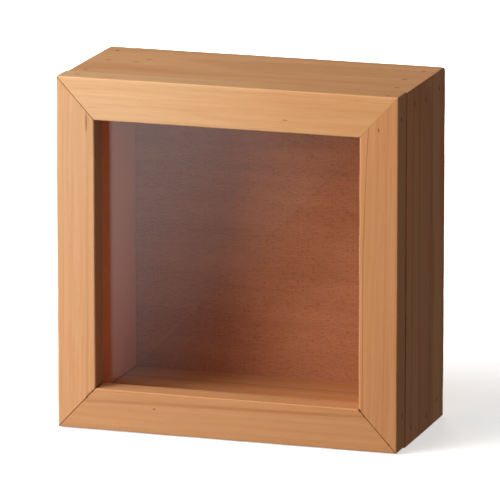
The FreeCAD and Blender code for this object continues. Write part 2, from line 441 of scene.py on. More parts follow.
class Value:
    """A number that a node puts out. Arithmetic on it adds Math nodes."""

    def __init__(self, bench, socket):
        self.bench = bench
        self.socket = socket

    def __add__(self, other):
        return self.bench.math("ADD", self, other)

    def __radd__(self, other):
        return self.bench.math("ADD", other, self)

    def __sub__(self, other):
        return self.bench.math("SUBTRACT", self, other)

    def __rsub__(self, other):
        return self.bench.math("SUBTRACT", other, self)

    def __mul__(self, other):
        return self.bench.math("MULTIPLY", self, other)

    def __rmul__(self, other):
        return self.bench.math("MULTIPLY", other, self)

    def __truediv__(self, other):
        return self.bench.math("DIVIDE", self, other)

    def __rtruediv__(self, other):
        return self.bench.math("DIVIDE", other, self)

    def __pow__(self, other):
        return self.bench.math("POWER", self, other)

    def __abs__(self):
        return self.bench.math("ABSOLUTE", self)

    def least(self, other):
        return self.bench.math("MINIMUM", self, other)

    def most(self, other):
        return self.bench.math("MAXIMUM", self, other)

    def whole(self):
        return self.bench.math("FLOOR", self)

    def part(self):
        return self.bench.math("FRACT", self)

    def mask(self, start, end):
        """0 at start, 1 at end and beyond, with a soft step between."""
        return self.bench.node("ShaderNodeMapRange", {"interpolation_type": "SMOOTHSTEP"},
                               {"Value": self, "From Min": start, "From Max": end})["Result"]


class Outputs:
    """The outputs of one node, by name or place."""

    def __init__(self, bench, node):
        self.bench = bench
        self.node = node

    def __getitem__(self, name):
        if isinstance(name, int):
            return Value(self.bench, self.node.outputs[name])
        shown = [s for s in self.node.outputs if s.enabled and s.name == name]
        return Value(self.bench, shown[0])


class Bench:
    """Where the nodes of one material, or of the world, are put together."""

    def __init__(self, name, world=False):
        self.holder = (bpy.data.worlds if world else bpy.data.materials).new(name)
        self.holder.use_nodes = True
        self.tree = self.holder.node_tree
        self.tree.nodes.clear()
        self.output = self.tree.nodes.new("ShaderNodeOutputWorld" if world else "ShaderNodeOutputMaterial")

    def node(self, kind, settings=None, sockets=None):
        """Adds a node, sets it up, then fills its sockets with values or links."""
        made = self.tree.nodes.new(kind)
        for key, setting in (settings or {}).items():
            setattr(made, key, setting)
        for key, value in (sockets or {}).items():
            if isinstance(key, int):
                socket = made.inputs[key]
            else:
                socket = [s for s in made.inputs if s.enabled and s.name == key][0]
            if isinstance(value, Value):
                self.tree.links.new(value.socket, socket)
            else:
                socket.default_value = value
        return Outputs(self, made)

    def math(self, operation, *terms):
        return self.node("ShaderNodeMath", {"operation": operation}, dict(enumerate(terms)))[0]

    def place(self):
        """The point on the piece in millimetres, as three numbers."""
        point = self.node("ShaderNodeTexCoord")["Object"]
        in_mm = self.node("ShaderNodeVectorMath", {"operation": "SCALE"}, {"Vector": point, "Scale": 1 / MM})
        split = self.node("ShaderNodeSeparateXYZ", None, {"Vector": in_mm["Vector"]})
        return split["X"], split["Y"], split["Z"]

    def point(self, x, y, z):
        return self.node("ShaderNodeCombineXYZ", None, {"X": x, "Y": y, "Z": z})["Vector"]

    def noise(self, point, detail=2.0, roughness=0.5):
        """Soft noise from -0.5 to 0.5, one unit coarse."""
        made = self.node("ShaderNodeTexNoise", None,
                         {"Vector": point, "Scale": 1.0, "Detail": detail, "Roughness": roughness})
        return made[0] - 0.5

    def specks(self, point):
        """Distance to scattered points, and a number of its own for each of them."""
        made = self.node("ShaderNodeTexVoronoi", {"feature": "F1"}, {"Vector": point, "Scale": 1.0})
        lot = self.node("ShaderNodeSeparateColor", None, {"Color": made["Color"]})
        return made["Distance"], lot["Red"]

    def mix(self, share, first, second, mode="MIX"):
        made = self.node("ShaderNodeMix", {"data_type": "RGBA", "blend_type": mode},
                         {0: share, 6: colour(first), 7: colour(second)})
        return Value(self, made.node.outputs[2])

    def shade(self, tone, tint):
        """A colour multiplied by another."""
        return self.mix(1.0, tone, tint, "MULTIPLY")

    def bump(self, height, distance, strength=1.0):
        sockets = {"Height": height, "Distance": distance, "Strength": strength}
        return self.node("ShaderNodeBump", None, sockets)["Normal"]

    def principled(self, **sockets):
        """The main shader. Names are the socket names with underscores."""
        named = {key.replace("_", " ").title().replace("Ior", "IOR"): value
                 for key, value in sockets.items()}
        return self.node("ShaderNodeBsdfPrincipled", None, named)["BSDF"]

    def finish(self, shader):
        self.tree.links.new(shader.socket, self.output.inputs["Surface"])
        return self.holder


def colour(value):
    """A colour socket's value: a link as it is, three numbers with full alpha."""
    if isinstance(value, Value):
        return value
    return (value[0], value[1], value[2], 1.0)


def scaled(tone, amount):
    return tuple(channel * amount for channel in tone)


def tinted(tone, tint):
    return tuple(a * b for a, b in zip(tone, tint))


# ------------------------------------------------------------------------- finishes

class Timber:
    """How one member was cut: its way of running, its tones and what it carries."""

    def __init__(self, side, tints, pith, ring_width, seed, figure=1.0, flecks=(), lines=(),
                 mitres=(0.8, 0.8), inside=None):
        self.lying = side in ("top", "bottom")
        self.side = side
        self.tints = tints              # colour beside the common tone at each end
        self.pith = pith                # middle of the growth rings: across and through, mm
        self.ring_width = ring_width
        self.seed = seed
        self.figure = figure            # strength of the ring lines
        self.flecks = flecks            # dark flecks: (x, y, z, radius, how long along the grain)
        self.lines = lines              # single grain lines, see GrainLine
        self.mitres = mitres            # how dark the mitre line is at each end
        self.inside = inside            # tint over the inner face: painted shade on the left stile, painted light on the left board


class GrainLine:
    """One late-wood line along a member, with the wood on one side of it a shade off; one on the right stile
    bounds a painted highlight instead.
    """

    def __init__(self, starts, ends, curve, width, strength, behind=0.0, through=False):
        self.starts = starts            # (along, across or y), mm
        self.ends = ends
        self.curve = curve              # 1 is straight, more bends it near its end
        self.width = width
        self.strength = strength
        self.behind = behind            # darkening beyond the line, or lightening below 0
        self.through = through          # measured front to back instead of across


# Small dark chips along the two lower mitres: (x, y, z, radius, how long along the grain).
CORNER_CHIPS = ((-79.8, -46.3, 22.6, 0.55, 0.8), (-83.4, -46.3, 18.8, 0.5, 1.0),
                (78.2, -46.3, 23.6, 0.75, 1.1), (80.6, -46.3, 20.9, 0.55, 0.8),
                (95.2, -46.3, 5.2, 0.55, 1.0))

TIMBERS = {
    "front_top_rail": Timber(
        "top", ((1.14, 1.20, 1.26), (0.98, 0.86, 0.72)), (256.0, 58.0), 2.6, 2.0, figure=0.26,
        flecks=((34.0, -46.3, 186.6, 0.32, 1.8),), mitres=(0.8, 0.14)),
    "front_bottom_rail": Timber(
        "bottom", ((0.95, 0.81, 0.73), (0.88, 0.71, 0.57)), (-34.0, -10.0), 3.8, 17.0, figure=0.45,
        flecks=((-43.0, -46.3, 15.2, 0.42, 1.0), *CORNER_CHIPS),
        lines=(GrainLine((-90.0, 16.8), (80.0, 20.4), 0.8, 1.5, 0.34, behind=-0.16),), mitres=(1.0, 0.95)),
    "front_left_stile": Timber(
        "left", ((1.06, 0.94, 0.90), (1.06, 1.06, 1.10)), (-176.0, -38.0), 2.7, 31.0, figure=0.32,
        flecks=((-82.6, -46.3, 178.0, 0.5, 6.0), *CORNER_CHIPS[:2]),
        lines=(GrainLine((20.0, -83.0), (190.0, -81.6), 1.0, 1.2, 0.25),), mitres=(1.0, 0.85),
        # painted shade: the inner face of this stile, turned away from the key light, is darkened
        inside=(0.60, 0.49, 0.52)),
    "front_right_stile": Timber(
        "right", ((0.88, 0.70, 0.56), (0.90, 0.72, 0.60)), (32.0, -70.0), 3.4, 43.0, figure=0.42,
        flecks=((88.3, -46.3, 184.5, 0.5, 1.3), (84.4, -46.3, 187.8, 0.4, 1.0), *CORNER_CHIPS[2:]),
        # painted highlight: the paler strip between this line and the inner edge, widening upwards, stands in for
        # light on an unmodelled bevel
        lines=(GrainLine((88.0, 79.4), (184.0, 82.5), 2.0, 0.42, 0.6, behind=-0.2),
               GrainLine((20.0, 91.0), (190.0, 93.5), 1.0, 1.1, 0.2)), mitres=(0.95, 0.14)),
    "top_board": Timber(
        "top", ((1.12, 1.04, 1.00), (1.08, 0.98, 0.92)), (290.0, 12.0), 5.4, 59.0, figure=0.8,
        flecks=((-70.5, 6.0, 203.0, 0.8, 1.8), (-66.0, 15.5, 203.0, 0.75, 2.4)),
        lines=(GrainLine((-100.0, 2.5), (100.0, 4.0), 1.0, 1.6, -0.5, behind=0.16, through=True),)),
    "bottom_board": Timber(
        "bottom", ((1.06, 0.88, 0.82), (1.08, 0.84, 0.72)), (-64.0, 30.0), 6.0, 71.0, figure=0.9,
        lines=(GrainLine((-100.0, 22.0), (100.0, 20.0), 1.0, 1.3, 0.6, through=True),)),
    "left_board": Timber(
        "left", ((0.98, 0.86, 0.82), (1.00, 0.90, 0.86)), (-210.0, 4.0), 7.0, 83.0,
        # painted light: the inner face of this board is lightened beyond what the lamps give it
        inside=(1.32, 1.02, 1.10)),
    "right_board": Timber(
        "right", ((1.00, 0.79, 0.70), (1.04, 0.83, 0.73)), (226.0, -14.0), 8.2, 97.0, figure=1.6,
        lines=(GrainLine((0.0, -20.0), (203.0, -17.0), 1.0, 1.8, 0.5, through=True),
               GrainLine((0.0, -3.0), (203.0, -6.0), 1.0, 3.0, 0.42, through=True),
               GrainLine((0.0, 17.0), (203.0, 20.0), 1.0, 2.2, 0.36, behind=0.18, through=True),
               GrainLine((0.0, 34.0), (203.0, 33.0), 1.0, 1.2, -0.3, through=True))),
}


def line_masks(place, line, lying, waver):
    """A grain line's own mask, and 1 on its inner side and 0 beyond it."""
    x, y, z = place
    along, across = (x, z) if lying else (z, x)
    if line.through:
        across = y
    share = ((along - line.starts[0]) / (line.ends[0] - line.starts[0])).least(1.0).most(0.0) ** line.curve
    offset = across - line.starts[1] - share * (line.ends[1] - line.starts[1]) + waver * 0.7
    return abs(offset).mask(line.width, line.width * 0.2), offset.mask(line.width, -line.width)


def flecks_mask(place, timber, flecks):
    """1 inside each of a member's flecks, fading over its rim."""
    x, y, z = place
    total = None
    for fleck_x, fleck_y, fleck_z, radius, length in flecks:
        along, across = (x - fleck_x, z - fleck_z) if timber.lying else (z - fleck_z, x - fleck_x)
        through = y - fleck_y
        reach = ((along / length * radius) ** 2 + across * across + through * through) ** 0.5
        spot = reach.mask(radius * 1.3, radius * 0.4)
        total = spot if total is None else total.most(spot)
    return total


class Faces:
    """What the finish of a member needs to know about the ring that the member is part of."""

    def __init__(self, outline, stile, rail, near_y):
        self.outline = outline
        self.stile = stile
        self.rail = rail
        self.near_y = near_y

    def from_side(self, x):
        """How far in from the outer side of the ring a point lies, across the standing members."""
        return self.outline.half_width - abs(x - self.outline.middle_x)

    def shares(self, place, lying):
        """The distances of a point to its member's outer and inner front edges, and to the mitre."""
        x, y, z = place
        from_side = self.from_side(x)
        from_end = self.outline.half_height - abs(z - self.outline.middle_z)
        inset, width = (from_end, self.rail) if lying else (from_side, self.stile)
        behind = y - self.near_y
        outer = (inset * inset + behind * behind) ** 0.5
        inner_inset = width - inset
        inner = (inner_inset * inner_inset + behind * behind) ** 0.5
        diagonal = math.hypot(self.stile, self.rail)
        mitre = abs(from_side * (self.rail / diagonal) - from_end * (self.stile / diagonal))
        return outer, inner, mitre


# Colours beside a member's own tone.
EARLY_WOOD = (1.09, 1.12, 1.16)
WARM_WOOD = (0.98, 0.87, 0.80)
LATE_WOOD = (0.84, 0.70, 0.56)
PALE_FIBRES = (1.12, 1.15, 1.2)
# Paler eased edges: partly sanded-through finish, partly a painted highlight where the rounded edges catch the
# light.
RUBBED_EDGE_AND_HIGHLIGHT = (1.16, 1.19, 1.24)
PALE_LINE, DARK_LINE = (1.14, 1.2, 1.28), (0.62, 0.42, 0.28)
PALE_SIDE, DARK_SIDE = (1.12, 1.2, 1.3), (0.8, 0.66, 0.54)
FLECK = (0.36, 0.19, 0.13)
NAIL_STAIN = (0.34, 0.20, 0.15)
MITRE_GLUE = (0.40, 0.20, 0.12)

STAIN_RADIUS, STAIN_LENGTH = 1.3, 1.9       # round a nail head, mm
SEAM_DARKNESS = {"top": 0.2, "bottom": 0.3, "left": 0.8, "right": 0.5}


class Grain:
    """The growth rings, fibres and resin canals of one member, as values over its surface."""

    def __init__(self, bench, place, timber):
        x, y, z = place
        along, across = (x, z) if timber.lying else (z, x)
        shift = timber.seed * 7.3
        point, noise_at = bench.point, bench.noise
        slow = noise_at(point(along * 0.006 + shift, across * 0.02, y * 0.02), detail=1.0)
        waver = noise_at(point(along * 0.022 + shift, across * 0.09, y * 0.09 + shift), detail=2.0)
        ring_across = across - timber.pith[0] + slow * 16.0 + waver * 2.2
        ring_through = y - timber.pith[1] + slow * 9.0
        ring = (ring_across * ring_across + ring_through * ring_through) ** 0.5 / timber.ring_width
        season = ring.part()
        year = bench.node("ShaderNodeTexWhiteNoise", {"noise_dimensions": "1D"}, {"W": ring.whole() + shift})
        distance, lot = bench.specks(point(along * 0.11 + shift, across * 1.7, y * 1.7))

        self.along = along
        self.waver = waver
        self.late = season.mask(0.3, 0.9) * season.mask(1.0, 0.92)
        self.year = year["Value"]
        self.streak = noise_at(point(along * 0.008 + shift, across * 0.30, y * 0.30), 3.0, 0.6)
        self.fibre = noise_at(point(along * 0.04, across * 1.5 + shift, y * 1.5), 4.0, 0.65)
        self.hair = noise_at(point(along * 0.30, across * 6.0, y * 6.0 + shift), 2.0, 0.7)
        self.cloud = noise_at(point(along * 0.013, across * 0.05 + shift, y * 0.05))
        self.ripple = noise_at(point(along * 0.9 + shift, across * 0.16, y * 0.16))
        self.canal = distance.mask(0.22, 0.04) * lot.mask(0.84, 0.9)


def member_tone(bench, grain, timber, look):
    """A member's tone, which changes from one end's tint to the other's."""
    spread = (grain.along + timber.seed * 0.1).mask(*RUNS[timber.lying])
    return bench.mix(spread, *(tinted(look.wood_tone, tint) for tint in timber.tints))


def grained_wood(bench, grain, timber, look, tone):
    """The tone with pale and warm streaks, growth rings, fibres and resin canals."""
    streak, cloud = grain.streak, grain.cloud
    deep = bench.shade(tone, LATE_WOOD)
    base = bench.mix((streak * 1.4 + cloud * 1.1 + 0.5).mask(0.0, 1.0), tone, bench.shade(tone, EARLY_WOOD))
    base = bench.mix((cloud * 2.2 - streak * 1.6 + 0.2).mask(0.0, 1.0) * 0.6, base,
                     bench.shade(tone, WARM_WOOD))
    base = bench.mix(grain.late * (grain.year * 0.6 + 0.4) * look.ring_strength * timber.figure, base, deep)
    base = bench.mix((grain.fibre * 2.0 + 0.5).mask(0.5, 1.0) * 0.5, base, deep)
    base = bench.mix((grain.hair * 1.6 + 0.5 + grain.ripple * 0.7).mask(0.55, 1.1) * 0.28, base,
                     bench.shade(tone, PALE_FIBRES))
    base = bench.mix(grain.canal * 0.35, base, look.dark_wood)
    return base


def mitre_mask(grain, timber, look, mitre):
    """1 on the dark line along each mitre, as strong as that corner's line."""
    line_width = (grain.hair * 1.3 + grain.fibre + 1.0).most(0.3) * look.mitre_line
    low, high = RUNS[timber.lying]
    middle = (low + high) / 2
    first, last = timber.mitres
    darkness = grain.along.mask(middle - 1, middle + 1) * (last - first) + first
    return (mitre / line_width).mask(1.0, 0.35) * darkness


def wood_finish(name, timber, look, faces, nail_heads):
    """Oiled softwood with growth rings, fine fibres, flecks, sanded edges with a painted highlight, painted light
    and shade on some inner faces, and dark mitre lines.
    """
    bench = Bench(name)
    place = bench.place()
    x, y, z = place
    grain = Grain(bench, place, timber)
    tone = member_tone(bench, grain, timber, look)
    base = grained_wood(bench, grain, timber, look, tone)
    dents = grain.canal * 0.8

    for line in timber.lines:
        core, inboard = line_masks(place, line, timber.lying, grain.waver)
        beyond = bench.shade(tone, PALE_SIDE if line.behind < 0 else DARK_SIDE)
        base = bench.mix(inboard * abs(line.behind), base, beyond)
        streak = bench.shade(tone, PALE_LINE if line.strength < 0 else DARK_LINE)
        base = bench.mix(core * abs(line.strength), base, streak)
    spots = flecks_mask(place, timber, timber.flecks)
    if spots is not None:
        base = bench.mix(spots * 0.8, base, bench.shade(tone, FLECK))
        dents = dents + spots * 1.2
    stains = flecks_mask(place, timber, [(*head, STAIN_RADIUS, STAIN_LENGTH) for head in nail_heads])
    base = bench.mix(stains * 0.55, base, bench.shade(tone, NAIL_STAIN))

    outer, inner, mitre = faces.shares(place, timber.lying)
    # The eased front edges are lightened: partly sanded-through finish, partly a painted highlight where they
    # catch the light.
    rubbed = outer.mask(1.4, 0.5).most(inner.mask(1.3, 0.5)) * (grain.hair + 0.8)
    base = bench.mix(rubbed * 0.4, base, bench.shade(tone, RUBBED_EDGE_AND_HIGHLIGHT))
    seam = abs(y - SEAM_Y).mask(0.35, 0.1)
    base = bench.mix(seam * SEAM_DARKNESS[timber.side], base, look.dark_wood)
    # Painted light and shade on an inner face: the left stile's reveal is darkened as painted shade, the left
    # board's inner wall is lightened as painted light.
    if timber.inside:
        inner_face_light_and_shade = (faces.stile - faces.from_side(x)).mask(0.5, 0.1) * (y - faces.near_y).mask(0.8, 2.0)
        base = bench.mix(inner_face_light_and_shade * 0.8, base, bench.shade(tone, timber.inside))
    base = bench.mix(mitre_mask(grain, timber, look, mitre), base, bench.shade(tone, MITRE_GLUE))

    height = grain.late * -0.35 + grain.fibre * 0.5 + grain.hair * 0.3 + grain.ripple * 0.25 - dents
    rough = 0.52 + grain.fibre * 0.16 - grain.late * 0.05 + grain.canal * 0.1 - rubbed * 0.05
    shader = bench.principled(base_color=base, roughness=rough, normal=bench.bump(height, 0.00006, 0.7),
                              specular_ior_level=0.28)
    return bench.finish(shader)


def crushed_wood_finish(look):
    """The darkened wood inside a nail hole."""
    bench = Bench("crushed_wood")
    x, y, z = bench.place()
    grain = bench.noise(bench.point(x * 1.5, y * 1.5, z * 1.5), detail=3.0)
    tone = bench.mix((grain * 2.0 + 0.5).mask(0.2, 0.9), look.dark_wood, scaled(look.dark_wood, 1.9))
    shader = bench.principled(base_color=tone, roughness=0.8, normal=bench.bump(grain, 0.00008))
    return bench.finish(shader)


def plywood_finish(look):
    """Thin reddish plywood: rippled grain with short dark pores, and three plies at the edges."""
    bench = Bench("back_plywood")
    x, y, z = bench.place()
    ripple = bench.noise(bench.point(x * 0.05, y, z * 0.09), detail=3.0)
    height_line = z + ripple * 5.0
    band = bench.noise(bench.point(x * 0.008, 3.0, height_line * 0.10), detail=3.0, roughness=0.6)
    cloud = bench.noise(bench.point(x * 0.018, 7.0, z * 0.022), detail=2.0)
    silk = bench.noise(bench.point(x * 0.14, 11.0, height_line * 1.25), detail=3.0, roughness=0.62)
    distance, lot = bench.specks(bench.point(x * 0.34, 5.0, height_line * 1.9))
    pore = distance.mask(0.42, 0.12) * lot.mask(0.25, 0.45)
    fine_distance, fine_lot = bench.specks(bench.point(x * 0.55 + 40, 9.0, height_line * 3.1))
    fine_pore = fine_distance.mask(0.4, 0.1) * fine_lot.mask(0.4, 0.6)

    tone = look.plywood_tone
    face = bench.mix((band * 1.3 + cloud * 1.2 + 0.5).mask(0.0, 1.0), tinted(tone, (0.84, 0.76, 0.72)),
                     tinted(tone, (1.14, 1.12, 1.08)))
    face = bench.mix((silk * 2.2 + 0.5).mask(0.1, 0.9) * 0.45, face, tinted(tone, (1.22, 1.28, 1.30)))
    face = bench.mix(pore * 0.60, face, scaled(tone, 0.42))
    face = bench.mix(fine_pore * 0.45, face, scaled(tone, 0.45))

    low, high = PANEL
    middle, half = (low + high) / 2, (high - low) / 2
    rim_x = abs(x - middle.x) - half.x
    rim_z = abs(z - middle.z) - half.z
    at_rim = rim_x.most(rim_z).mask(-0.45, -0.2)
    from_core = abs(y - middle.y)
    ply = from_core.mask(0.62, 0.5)
    glue = abs(from_core - 0.56).mask(0.13, 0.04)
    saw = bench.noise(bench.point(x * 1.8, y * 0.6, z * 1.8), detail=3.0)
    edge = bench.mix(ply, tinted(tone, (1.05, 1.05, 1.0)), tinted(tone, (1.35, 1.6, 1.7)))
    edge = bench.mix(glue, edge, scaled(tone, 0.3))
    edge = bench.mix((saw * 2.0 + 0.5).mask(0.3, 1.0) * 0.4, edge, scaled(tone, 0.6))
    base = bench.mix(at_rim, face, edge)

    height = silk * 0.5 - pore * 0.8 - fine_pore * 0.5 + at_rim * saw
    rough = 0.66 + silk * 0.14 + pore * 0.1
    shader = bench.principled(base_color=base, roughness=rough, normal=bench.bump(height, 0.00009, 0.8),
                              specular_ior_level=0.32)
    return bench.finish(shader)


def glass_finish(look):
    """Thin clear picture glass that mirrors a little and lets the light through."""
    bench = Bench("clear_glass")
    x, y, z = bench.place()
    haze = bench.noise(bench.point(x * 0.02, y, z * 0.02), detail=4.0)
    through = bench.node("ShaderNodeBsdfTransparent", None, {"Color": (*look.glass_tint, 1.0)})["BSDF"]
    mirror = bench.node("ShaderNodeBsdfAnisotropic", {"distribution": "GGX"},
                        {"Color": (1.0, 1.0, 1.0, 1.0), "Roughness": 0.02 + abs(haze) * 0.03})["BSDF"]
    facing = bench.node("ShaderNodeLayerWeight", None, {"Blend": 0.5})["Facing"]
    head_on = 0.04                 # how much one face of the pane mirrors when seen straight on
    share = facing ** 5.0 * (1.0 - head_on) + head_on
    both = bench.node("ShaderNodeMixShader", None, {0: share, 1: through, 2: mirror})["Shader"]
    return bench.finish(both)


def metal_finish(name, tone, worn_tone, roughness):
    """Thin plating with rubbed patches, fine scratches and a few dull specks."""
    bench = Bench(name)
    x, y, z = bench.place()
    rub = bench.noise(bench.point(x * 0.35, y * 0.35, z * 0.35), detail=3.0)
    grain = bench.noise(bench.point(x * 6.0, y * 6.0, z * 0.6), detail=3.0, roughness=0.7)
    distance, lot = bench.specks(bench.point(x * 1.6, y * 1.6, z * 1.6))
    speck = distance.mask(0.3, 0.12) * lot.mask(0.6, 0.75) * 0.3
    base = bench.mix((rub * 2.4 + 0.5).mask(0.35, 0.95), tone, worn_tone)
    base = bench.mix(speck, base, scaled(worn_tone, 0.35))
    rough = roughness + rub * 0.18 + speck * 0.3 + grain * 0.1
    shader = bench.principled(base_color=base, metallic=0.42 - speck * 0.2, roughness=rough,
                              normal=bench.bump(grain * 0.5 - speck, 0.00002, 0.6))
    return bench.finish(shader)


def nail_finish(look):
    """Dark oxidised steel, dulled by the oil that was wiped over it."""
    bench = Bench("nail_steel")
    x, y, z = bench.place()
    rust = bench.noise(bench.point(x * 2.2, y * 2.2, z * 2.2), detail=3.0)
    tone = bench.mix((rust * 2.0 + 0.5).mask(0.2, 0.9), look.steel_tone, scaled(look.steel_tone, 0.5))
    return bench.finish(bench.principled(base_color=tone, metallic=(rust + 0.3).mask(0.0, 0.8) * 0.6,
                                         roughness=rust * 0.2 + 0.68, normal=bench.bump(rust, 0.00003)))


def floor_finish(look):
    """A pale floor, lifted towards white, that runs out into a white backdrop."""
    bench = Bench("pale_floor")
    x, y, z = bench.place()
    cloud = bench.noise(bench.point(x * 0.002, y * 0.002, 0.0), detail=2.0)
    tone = bench.mix((cloud + 0.5).mask(0.0, 1.0), scaled(look.floor_tone, 0.98), look.floor_tone)
    away = (x * x + y * y) ** 0.5
    glow = bench.mix(away.mask(150.0, 1100.0), (look.floor_glow,) * 3, (1.0, 1.0, 1.0))
    return bench.finish(bench.principled(base_color=tone, roughness=0.85, specular_ior_level=0.1,
                                         emission_color=glow, emission_strength=1.0))


# ------------------------------------------------------------------------- settings

class BoxFinish(bpy.types.PropertyGroup):
    """Colours and small sizes of the box itself."""

    wood_tone: FloatVectorProperty(name="Wood", description="Oiled softwood, before each member's own tint",
                                   default=(0.560, 0.318, 0.158), size=3, subtype="COLOR", min=0.0, max=1.0)
    dark_wood: FloatVectorProperty(name="Dark wood", description="Mitre lines, flecks and nail holes",
                                   default=(0.120, 0.040, 0.016), size=3, subtype="COLOR", min=0.0, max=1.0)
    plywood_tone: FloatVectorProperty(name="Plywood", description="Raw reddish plywood of the back panel",
                                      default=(0.530, 0.210, 0.110), size=3, subtype="COLOR",
                                      min=0.0, max=1.0)
    glass_tint: FloatVectorProperty(name="Glass", description="What one face of the pane lets through",
                                    default=(0.985, 0.995, 0.988), size=3, subtype="COLOR", min=0.0, max=1.0)
    steel_tone: FloatVectorProperty(name="Nails", description="Dull dark wire nails",
                                    default=(0.075, 0.045, 0.032), size=3, subtype="COLOR", min=0.0, max=1.0)
    brass_tone: FloatVectorProperty(name="Turn buttons", description="Brass plating",
                                    default=(0.80, 0.58, 0.25), size=3, subtype="COLOR", min=0.0, max=1.0)
    zinc_tone: FloatVectorProperty(name="Hanger", description="Zinc plating",
                                   default=(0.74, 0.75, 0.76), size=3, subtype="COLOR", min=0.0, max=1.0)
    ring_strength: FloatProperty(name="Growth rings", description="How strongly the growth rings show",
                                 default=0.55, min=0.0, max=1.0, subtype="FACTOR")
    mitre_line: FloatProperty(name="Mitre line", default=0.34, min=0.05, max=1.0,
                              description="Width of the dark line at a mitre, in millimetres")
    frame_easing: FloatProperty(name="Frame easing", description="Rounding of the front frame's edges",
                                default=0.7 * MM, min=0.1 * MM, max=2.0 * MM, unit="LENGTH")
    board_easing: FloatProperty(name="Board easing", description="Rounding of the case boards' edges",
                                default=0.8 * MM, min=0.1 * MM, max=2.0 * MM, unit="LENGTH")
    nail_depth: FloatProperty(name="Nail depth", description="How far the nail heads lie below the wood",
                              default=0.3 * MM, min=0.0, max=1.0 * MM, unit="LENGTH")


class StageLook(bpy.types.PropertyGroup):
    """The floor, the lights and the camera."""

    floor_tone: FloatVectorProperty(name="Floor", description="Pale floor",
                                    default=(0.86, 0.86, 0.855), size=3, subtype="COLOR", min=0.0, max=1.0)
    room_tone: FloatVectorProperty(name="Room", description="Colour of the light from all round",
                                   default=(1.0, 0.97, 0.93), size=3, subtype="COLOR", min=0.0, max=1.0)
    room_strength: FloatProperty(name="Room light", default=0.376, min=0.0, max=5.0,
                                 description="Strength of the room's light in front of the box")
    key_power: FloatProperty(name="Key light", description="Power of the large soft light, front left",
                             default=29.0, min=0.0, max=500.0, unit="POWER")
    top_power: FloatProperty(name="Top light", description="Power of the soft light overhead",
                             default=6.9, min=0.0, max=500.0, unit="POWER")
    rear_power: FloatProperty(name="Rear light", description="Power of the soft light behind",
                              default=24.0, min=0.0, max=500.0, unit="POWER")
    sheen_strength: FloatProperty(name="Sheen card", default=1.3, min=0.0, max=5.0,
                                  description="Brightness of the card that the glass mirrors")
    floor_glow: FloatProperty(name="Floor glow", description="How far the floor is lifted towards white",
                              default=0.55, min=0.0, max=1.0, subtype="FACTOR")
    azimuth: FloatProperty(name="Azimuth", description="Camera's turn to the right of the front",
                           default=math.radians(17.78), subtype="ANGLE", unit="ROTATION")
    elevation: FloatProperty(name="Elevation", description="Camera's height above the horizon",
                             default=math.radians(13.09), subtype="ANGLE", unit="ROTATION")
    distance: FloatProperty(name="Distance", description="From the camera to the point that it looks at",
                            default=3.638, min=0.1, max=20.0, unit="LENGTH")
    lens: FloatProperty(name="Lens", description="Focal length of the camera in millimetres",
                        default=464.1, min=20.0, max=1000.0)


def look_of(context):
    return context.scene.shadow_box_finish


# ------------------------------------------------------------------------ operators

def settle(piece, node, body="case"):
    """Puts a finished piece in a CAD node's stead and on its body."""
    slots = {part["node"]: part["material_slot"] for part in frame["record"]["subparts"]}
    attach(piece, body)
    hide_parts(node)
    slots[node]


def nails_of(member_name, nails):
    """The nails whose heads lie in this member."""
    low, high = box_mm(member_name)
    slack = 0.05
    return [nail for nail in nails
            if all(low[i] - slack <= nail[0][i] <= high[i] + slack for i in range(3))]


def nail_holes(name, nails, recess, finish):
    """A cutter for the holes of some nails, wider at the surface where the wood broke."""
    mesh = bmesh.new()
    floor = recess + 1.2
    profile = [(0.0, -0.6), (1.12, -0.6), (1.0, 0.0), (0.86, recess * 0.8), (0.82, floor), (0.0, floor)]
    for head, into, length in nails:
        turned(mesh, head, into, profile, segments=14)
    return finish_mesh(mesh, name, [finish])


def build_members(context, names, faces, section_of, radius_at, nail_nodes, setup):
    """Makes the mitred members of one ring, with the holes of the nails that go into them."""
    look = look_of(context)
    dark = bpy.data.materials.get("crushed_wood") or crushed_wood_finish(look)
    nails = [nail for node in nail_nodes for nail in nails_in(node)]
    for name in names:
        timber = TIMBERS[name]
        width, other = (faces.rail, faces.stile) if timber.lying else (faces.stile, faces.rail)
        member = Member(name + "_wood", timber.side, faces.outline, section_of(width), other / width,
                        radius_at)
        setup(member)
        driven = nails_of(name, nails)
        finish = wood_finish(name + "_finish", timber, look, faces, [nail[0] for nail in driven])
        piece = member.build([finish])
        carve(piece, nail_holes(name + "_holes", driven, look.nail_depth / MM, dark))
        settle(piece, name)


# How each front corner was left: (lower or left end, upper or right end) of each member.
FRONT_GAPS = {"top": (0.05, 0.02), "bottom": (0.26, 0.12), "left": (0.26, 0.05), "right": (0.12, 0.02)}
FRONT_RUBBED = {"top": (0.10, 0.03), "bottom": (0.15, 0.11), "left": (0.15, 0.10), "right": (0.11, 0.03)}


class SHADOWBOX_OT_front_frame(bpy.types.Operator):
    """Make the four mitred members of the front frame"""
    bl_idname = "shadow_box.front_frame"
    bl_label = "Front frame"

    def execute(self, context):
        easing = look_of(context).frame_easing / MM
        corner_radius = 0.9
        left_inner = Vector((FRONT.left + STILE, FRONT_Y, FRONT.bottom + RAIL))
        right_inner = Vector((FRONT.right - STILE, FRONT_Y, FRONT.bottom + RAIL))

        def setup(member):
            member.open_mitres = FRONT_GAPS[member.side]
            member.grooves = FRONT_RUBBED[member.side]
            member.chips = ((left_inner + Vector((-4.2, 0, -4.0)), 0.9, 0.5),
                            (left_inner + Vector((-1.9, 0, -2.3)), 0.7, 0.35),
                            (right_inner + Vector((0.9, 0, -0.5)), 0.9, 0.7),
                            (right_inner + Vector((2.3, 0, -2.3)), 0.8, 0.5),
                            (right_inner + Vector((17.5, 0, -18.6)), 0.8, 0.3))

        names = ("front_top_rail", "front_bottom_rail", "front_left_stile", "front_right_stile")
        build_members(context, names, Faces(FRONT, STILE, RAIL, FRONT_Y),
                      lambda width: frame_section(width, easing), lambda point: corner_radius,
                      (PIN_NODE,), setup)
        return {"FINISHED"}


